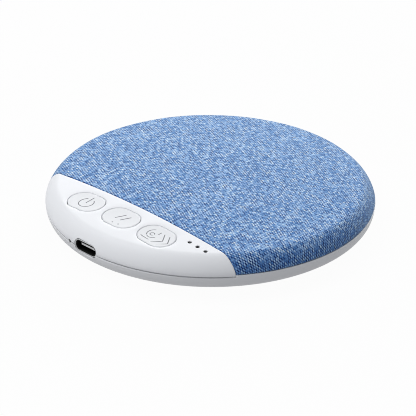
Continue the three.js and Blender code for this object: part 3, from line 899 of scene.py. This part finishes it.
def upper_housing():
    centres = [node_round(f"{use}_button")[0] for use in BUTTONS]
    opening = (CAP_LENGTH + 2 * CAP_GAP, CAP_WIDTH + 2 * CAP_GAP)
    lights = [np.array([x, LIGHT_Y]) for x in LIGHT_X]
    round_light = (2 * LIGHT_RADIUS + SLIVER, 2 * LIGHT_RADIUS)

    def height(flat, placed):
        plan = placed[:, :2]
        front = np.column_stack([placed[:, 0], placed[:, 2]])
        drop = rolled(CHORD_Y - placed[:, 1], CHORD_ROLL) + rolled(PANEL_END - np.hypot(*flat.T), SEAM_ROLL)
        for centre in centres:
            away = stadium_distance(plan, centre, *opening)
            lip = LIP_DEPTH * np.exp(-(np.maximum(away, 0) / LIP_WIDTH) ** 2)
            drop += rolled(away, OPENING_ROLL) + lip
        for light in lights:
            drop += rolled(stadium_distance(plan, light, *round_light), LIGHT_ROLL)
        on_wall = placed[:, 2] < WALL_HIGH_Z
        port = stadium_distance(front, PORT_CENTRE, PORT_WIDTH, PORT_HEIGHT)
        pin = stadium_distance(front, PINHOLE, PINHOLE_WIDTH, PINHOLE_WIDTH)
        drop += np.where(on_wall, rolled(port, PORT_ROLL) + rolled(pin, PINHOLE_ROLL), 0)
        return -drop

    holes = [UPPER.unwrap(stadium(c, *opening, 0, 0.28)) for c in centres]
    holes += [UPPER.unwrap(stadium(c, *round_light, 0, 0.17)) for c in lights]
    rings = [panel_loop(d) for d in (0.06, 0.16, 0.32)]
    for centre in centres:
        rings += [UPPER.unwrap(stadium(centre, *opening, d, 0.3)) for d in (0.05, 0.13, 0.24)]
        rings += [UPPER.unwrap(stadium(centre, *opening, d, 0.45)) for d in (0.5, 0.85, 1.3)]
    for light in lights:
        rings += [UPPER.unwrap(stadium(light, *round_light, d, 0.2)) for d in (0.05, 0.13, 0.35)]
    holes += [wall_loop(port_loop(0, 0.2)), wall_loop(pinhole_loop(0, 0.12))]
    rings += [wall_loop(port_loop(d, 0.25)) for d in (0.05, 0.12, 0.22, 0.5)]
    rings += [wall_loop(pinhole_loop(d, step)) for d, step in ((0.08, 0.14), (0.2, 0.2))]
    rings += shoulder_arcs()
    panel = skin("control_panel_housing", UPPER, panel_loop(0), holes, rings, height, 0.75, PANEL_SKIN)
    core = cad_copy("top_housing", "core")
    combine(core, lathe("keep", core_profile(), 96), "INTERSECT")
    combine(panel, core, "UNION")
    combine(panel, port_cutter(CUT_CLEARANCE), "DIFFERENCE")
    combine(panel, pinhole_cutter(CUT_CLEARANCE), "DIFFERENCE")
    finish_edges(panel)
    finish_piece(panel, "white_plastic", ["top_housing"])


def wall_loop(loop):
    """A loop of the front wall as flat points. What hangs below the seam is run on past the edge."""
    above = np.maximum(loop[:, 1], SEAM_HIGH_Z)
    flat = UPPER.unwrap_side(np.column_stack([loop[:, 0], above]))
    reach = np.hypot(*flat.T)
    return flat * (1 + (above - loop[:, 1]) / reach)[:, None]


def shoulder_arcs():
    """Rings that carry the tight bend of the shoulder on the panel's side."""
    bands = []
    for s in np.arange(UPPER.length_at_radius(49.5), PANEL_END - 0.4, 0.55):
        start = math.asin((CHORD_Y - 0.5) / UPPER.at(s)[0])
        bands.append(closed_band(s, start, -math.pi - start, 0.6))
    return bands


def closed_band(s, start, end, step):
    """An arc there and back, so that it closes as a loop of no width."""
    there = rim_arc(s, start, end, step)
    return np.vstack([there, there[-2:0:-1]])


def core_profile():
    """The solid a little under the upper outline, as a lathe profile from a low level to the crown."""
    inset, low_z = 0.55, 5.0
    s = np.linspace(0, UPPER.end, 40)
    edge = UPPER.at(s) - UPPER.normal_at(s) * inset
    return [[0, low_z], [edge[-1][0], low_z], *edge[::-1][:-1].tolist(), [0, edge[0][1]]]


# ---------- lower shell ----------

LOWER_SKIN = 1.1
RIM_ROLL = 0.2
SCREW_HEAD_HIGH_Z = 3.3


def rounded_top(radius, top_z):
    """Profile points of a rounded outer edge, from its foot up and inwards."""
    angle = np.linspace(0, math.pi / 2, 6)
    turn = RIM_ROLL * np.column_stack([np.cos(angle), np.sin(angle)])
    return np.array([radius, top_z]) - RIM_ROLL + turn


def lower_shell():
    """The tapered shell. Its rim stands higher under the cloth and is cut lower under the panel."""
    flat_end = LOWER.length_at_radius(FLAT_RADIUS)
    rim_end = LOWER.length_at_height(SHELL_RIM_Z - RIM_ROLL)
    s = np.concatenate([np.linspace(0, flat_end, 8), np.linspace(flat_end, rim_end, 64)[1:]])
    outer = LOWER.at(s)
    inner = (outer - LOWER.normal_at(s) * LOWER_SKIN)[::-1]
    inner[0, 1] = SHELL_RIM_Z
    rim = rounded_top(outer[-1][0], SHELL_RIM_Z)[1:]
    profile = [*outer.tolist(), *rim.tolist(), *inner.tolist()]
    shell = lathe("lower_shell", profile, 240)
    core = cad_copy("bottom_shell", "core")
    edge = outer - LOWER.normal_at(s) * 0.5
    column = [[edge[-1][0], SHELL_RIM_Z - 0.1], [0, SHELL_RIM_Z - 0.1]]
    combine(core, lathe("keep", [[0, edge[0][1]], *edge[1:].tolist(), *column], 96), "INTERSECT")
    combine(shell, core, "UNION")
    combine(shell, panel_side_cutter(), "DIFFERENCE")
    for i in range(1, 5):
        combine(shell, recess(f"foot_{i}", 0.2, 0.1), "DIFFERENCE")
        combine(shell, recess(f"case_screw_{i}", 0.3, 0.1), "DIFFERENCE")
    combine(shell, port_cutter(), "DIFFERENCE")
    combine(shell, pinhole_cutter(), "DIFFERENCE")
    finish_edges(shell)
    finish_piece(shell, "lower_plastic", ["bottom_shell"])


def panel_side_cutter():
    """Clears the shell's rim under the panel down to the seam and leaves a rounded edge there."""
    rim_radius = LOWER.at(LOWER.length_at_height(SEAM_LOW_Z - RIM_ROLL))[0]
    rounding = rounded_top(rim_radius, SEAM_LOW_Z)[::-1].tolist()
    reach = RADIUS + 3
    far = [[reach, SEAM_LOW_Z - RIM_ROLL], [reach, SHELL_RIM_Z + 3], [0, SHELL_RIM_Z + 3]]
    cutter = lathe("cutter", [[0, SEAM_LOW_Z], *rounding, *far], 240)
    front = CHORD_Y + HEM_GAP
    corners = np.array([[-reach, -reach], [reach, -reach], [reach, front], [-reach, front]])
    combine(cutter, prism("front", corners, SEAM_LOW_Z - 2, SHELL_RIM_Z + 4), "INTERSECT")
    return cutter


def recess(node, side_gap, top_gap):
    """A round cutter with a chamfered mouth, round a foot or a screw's head."""
    centre, half_width, _, high_z = node_round(node)
    radius = half_width + side_gap
    head_high = high_z if node.startswith("foot") else SCREW_HEAD_HIGH_Z
    mouth_z = LOWER.at(LOWER.length_at_radius(np.hypot(*centre)))[1]
    top, below = head_high + top_gap, mouth_z - 1.5
    profile = [[0, below], [radius + 1.7, below], [radius, mouth_z + 0.2], [radius, top], [0, top]]
    return lathe("recess", profile, 64, centre)


# ---------- fabric ----------

FABRIC_THICK = 0.85
CHORD_TUCK = 0.25
HEM_TUCK = 0.5


def fabric_loop(inset):
    """The cloth's edge, moved inwards by inset: the rim the long way round, then the chord."""
    s = HEM_END - inset
    line = chord_line(CLOTH_Y + inset, s, 0.3)
    start = math.atan2(line[-1][1], line[-1][0])
    end = math.pi - start
    return np.vstack([rim_arc(s, start, end, 0.7), line])


def fabric_cover():
    random = np.random.default_rng(7)
    waves = [(random.uniform(0.15, 0.55), random.uniform(0, math.tau), random.uniform(0, math.tau))
             for _ in range(9)]

    def height(flat, placed):
        chord = placed[:, 1] - CLOTH_Y
        rim = HEM_END - np.hypot(*flat.T)
        unevenness = sum(
            np.sin(k * (flat[:, 0] * math.cos(a) + flat[:, 1] * math.sin(a)) + p) for k, a, p in waves
        )
        proud = 0.012 * (unevenness - 4)
        return np.minimum(proud, 0) - rolled(chord, CHORD_TUCK) - rolled(rim, HEM_TUCK)

    rings = [fabric_loop(d) for d in (0.05, 0.15, 0.3, 0.5, 0.8)]
    for s in np.arange(UPPER.length_at_radius(49), HEM_END - 1.0, 0.6):
        start = math.asin((CLOTH_Y + 1.0) / UPPER.at(s)[0])
        rings.append(closed_band(s, start, math.pi - start, 0.9))
    cover = skin("woven_cover", UPPER, fabric_loop(0), [], rings, height, 0.85, FABRIC_THICK)
    finish_piece(cover, "woven_fabric", ["fabric_cover"])


# ---------- small visible pieces ----------

def usb_socket():
    """The socket's shell with a bright flange round its mouth. Its inside is black up to the mouth: painted
    shade on the steel.
    """
    front, back, wall, flange = USB_LOW[1], USB_HIGH[1], 0.3, 0.32
    count = 72
    sections = [
        (back, 0.0), (back, -wall),
        (front + 0.5, -wall), (front + 0.12, -wall), (front + 0.03, -wall + 0.05), (front, 0.08),
        (front, flange - 0.06), (front + 0.04, flange), (front + 0.4, flange), (front + 0.45, 0.0),
    ]
    # Painted shade: the shell's inner wall and the inner edge of its front lip get the black material,
    # standing for the shade inside the socket.
    shaded_sections = slice(1 * count, 5 * count)
    shell = tube_along_y("usb_socket_shell", USB_WIDTH, USB_HEIGHT, sections, count)
    finish_piece(shell, "steel", ["usb_c_shell"], extra=("socket_black",))
    shaded_faces = np.zeros(len(sections) * count, np.int32)
    shaded_faces[shaded_sections] = 1
    shell.data.polygons.foreach_set("material_index", shaded_faces)


def tube_along_y(name, width, height, sections, count):
    """An open stadium tube along Y, through [y, growth] sections that close on themselves."""
    points = []
    for y, grow in sections:
        loop = even_stadium(width, height, grow, count) + SOCKET_CENTRE
        points += [[x, y, z] for x, z in loop]
    faces = []
    for k in range(len(sections)):
        for i in range(count):
            a = k * count + i
            b = k * count + (i + 1) % count
            step = ((k + 1) % len(sections) - k) * count
            faces.append((a, b, b + step, a + step))
    return mesh_object(name, points, faces)


def usb_tongue():
    """The socket's tongue and base, black but for the tongue's tip."""
    low, high = node_box("usb_c_tongue")
    centre = (low + high) / 2
    build = bmesh.new()
    width, thickness, base_depth, white_tip = 6.7, 0.7, 1.4, 0.3
    plate = (width, high[1] - low[1] - 1.2, thickness)
    add_box(build, (centre[0], low[1] + plate[1] / 2, centre[2]), plate)
    bmesh.ops.bevel(build, geom=build.edges[:], offset=0.08, segments=3, affect="EDGES", profile=0.5)
    tongue = bmesh_object("usb_socket_tongue", build)
    base_loop = stadium(SOCKET_CENTRE, high[0] - low[0], high[2] - low[2], 0, 0.15)
    base = front_prism("base", base_loop, high[1] - base_depth, high[1])
    join(tongue, [base])
    finish_edges(tongue)
    finish_piece(tongue, "tongue_plastic", ["usb_c_tongue"], extra=("socket_black",))
    depth = np.array([polygon.center[1] for polygon in tongue.data.polygons]) / MM
    tongue.data.polygons.foreach_set("material_index", (depth > low[1] + white_tip).astype(np.int32))


def light_windows():
    """The smoked light guide: a rounded bar with a domed pin under each window and a leg over each light."""
    guide = cad_copy("light_guide", "light_guide_bar")
    bar_low, pin_foot, bar_top = 8, 11.6, 12.4
    trim = prism("trim", stadium([LIGHT_X[1], -35.5], 20, 12, 0, 1.0), bar_low, bar_top)
    combine(guide, trim, "INTERSECT")
    radius = LIGHT_RADIUS - 0.02
    for x in LIGHT_X:
        top = UPPER.at(UPPER.length_at_radius(math.hypot(x, LIGHT_Y)))[1] - 0.06
        dome = [[radius, top - 0.12], [radius * 0.8, top - 0.03], [0, top]]
        profile = [[0, pin_foot], [radius, pin_foot], *dome]
        combine(guide, lathe("pin", profile, 32, (x, LIGHT_Y)), "UNION")
    finish_edges(guide)
    finish_piece(guide, "smoked_plastic", ["light_guide"])


def foot(index):
    """A rubber foot with a rounded sole edge and a shallow ring groove."""
    centre, radius, sole, top = node_round(f"foot_{index}")
    groove = sole + 0.12
    profile = [
        [0, sole], [radius * 0.55, sole],
        [radius * 0.58, groove], [radius * 0.66, groove],
        [radius * 0.69, sole], [radius - 0.45, sole],
        [radius - 0.22, sole + 0.06], [radius - 0.06, sole + 0.2], [radius, sole + 0.42],
        [radius, top - 0.08], [radius - 0.08, top], [0, top],
    ]
    pad = lathe(f"rubber_foot_{index}", profile, 64, centre)
    finish_piece(pad, "black_rubber", [f"foot_{index}"])


def case_screw(index):
    """A case screw: rounded head, cross recess and plain shank. Its head faces down."""
    centre, head, face, tip = node_round(f"case_screw_{index}")
    shank, under_head = 1.3, face + 1.6
    profile = [
        [0, face], [head * 0.6, face], [head * 0.88, face + 0.12], [head, face + 0.4],
        [head, under_head], [shank, under_head], [shank, tip - 1], [0.5, tip], [0, tip],
    ]
    screw = lathe(f"case_screw_fine_{index}", profile, 48, centre)
    for size in ((3.0, 0.62), (0.62, 3.0)):
        build = bmesh.new()
        add_box(build, (*centre, face + 0.2), (*size, 1.4))
        combine(screw, bmesh_object("slot", build), "DIFFERENCE")
    finish_edges(screw)
    finish_piece(screw, "steel", [f"case_screw_{index}"])


def dress_inner_nodes():
    """Gives each CAD node that still shows its own finish."""
    slots = {row["node"]: row["material_slot"] for row in frame["record"]["subparts"]}
    for name, obj in frame["nodes"].items():
        obj.data.materials.clear()
        obj.data.materials.append(MATERIALS[slots[name]])


# ---------- camera, light and floor ----------

def camera():
    azimuth = math.radians(45.4)
    elevation = math.radians(27.4)
    roll = math.radians(0.38)
    distance = 1.2
    pixels_per_metre = 2998
    frame_pixels = 416
    aim = Vector((0, 0, 0.0085))
    aim_left, aim_down = 0.00078, 0.00337
    level_reach = math.cos(elevation)
    toward = Vector((math.sin(azimuth) * level_reach, -math.cos(azimuth) * level_reach, math.sin(elevation)))
    right = Vector((math.cos(azimuth), math.sin(azimuth), 0))
    up = toward.cross(right)
    aim = aim - right * aim_left - up * aim_down
    data = bpy.data.cameras.new("camera")
    data.sensor_width = 36
    data.lens = pixels_per_metre * distance * data.sensor_width / frame_pixels
    data.clip_start = 0.01
    data.clip_end = 20
    obj = linked("camera", data)
    obj.location = aim + toward * distance
    level = (-toward).to_track_quat("-Z", "Y").to_matrix()
    turn = Matrix.Rotation(roll, 3, "Z")
    obj.rotation_euler = (level @ turn).to_euler()
    bpy.context.scene.camera = obj


def softbox(name, place, size, power):
    data = bpy.data.lights.new(name, "AREA")
    data.shape = "RECTANGLE"
    data.size, data.size_y = size
    data.energy = power
    obj = linked(name, data)
    obj.location = place
    obj.rotation_euler = (-Vector(place)).to_track_quat("-Z", "Y").to_euler()


def studio():
    """A pale surround that dims towards the ground, and a soft key above the disc's left side."""
    world = bpy.data.worlds.new("studio")
    bpy.context.scene.world = world
    world.use_nodes = True
    tree = world.node_tree
    coordinates = tree.nodes.new("ShaderNodeTexCoord")
    split = tree.nodes.new("ShaderNodeSeparateXYZ")
    ramp = tree.nodes.new("ShaderNodeValToRGB")
    height = tree.nodes.new("ShaderNodeMath")
    height.operation = "MULTIPLY_ADD"
    height.inputs[1].default_value = 0.5
    height.inputs[2].default_value = 0.5
    ramp.color_ramp.elements[0].color = (0.28, 0.285, 0.3, 1)
    ramp.color_ramp.elements[1].color = (0.5, 0.51, 0.53, 1)
    tree.links.new(coordinates.outputs["Generated"], split.inputs[0])
    tree.links.new(split.outputs["Z"], height.inputs[0])
    tree.links.new(height.outputs[0], ramp.inputs["Fac"])
    tree.links.new(ramp.outputs["Color"], tree.nodes["Background"].inputs["Color"])
    softbox("left_key", (-0.62, -0.62, 1.3), (0.9, 0.9), 9.6)
    softbox("back_top", (-0.1, 0.5, 1.4), (0.9, 0.9), 3.8)
    softbox("back_low", (-0.55, 1.12, 0.36), (1.0, 0.35), 12.5)
    softbox("front_fill", (-0.4, -1.25, 0.14), (1.0, 0.22), 2.2)


def floor():
    """A glowing white ground just under the feet."""
    size = 3.0
    level = -0.0001
    mesh = bpy.data.meshes.new("floor")
    corners = [(-size, -size, level), (size, -size, level), (size, size, level), (-size, size, level)]
    mesh.from_pydata(corners, [], [(0, 1, 2, 3)])
    obj = linked("floor", mesh)
    shader = Shader("floor", 0.9)
    shade = shader.noise(shader.place(), 3.0, 2.0)
    shader.set("Base Color", shader.mix(shade, (0.02, 0.02, 0.02, 1), (0.03, 0.03, 0.03, 1)))
    shader.set("Specular IOR Level", 0.0)
    shader.set("Emission Color", PLAIN)
    shader.set("Emission Strength", 0.96)
    mesh.materials.append(shader.material)
    obj.visible_diffuse = False


camera()
studio()
floor()
scene = bpy.context.scene
scene.view_settings.view_transform = "Standard"
scene.cycles.denoising_prefilter = "NONE"
scene.cycles.filter_width = 1.0

dress_inner_nodes()
upper_housing()
lower_shell()
fabric_cover()
for use in BUTTONS:
    button_cap(use)
usb_socket()
usb_tongue()
light_windows()
for index in range(1, 5):
    foot(index)
    case_screw(index)
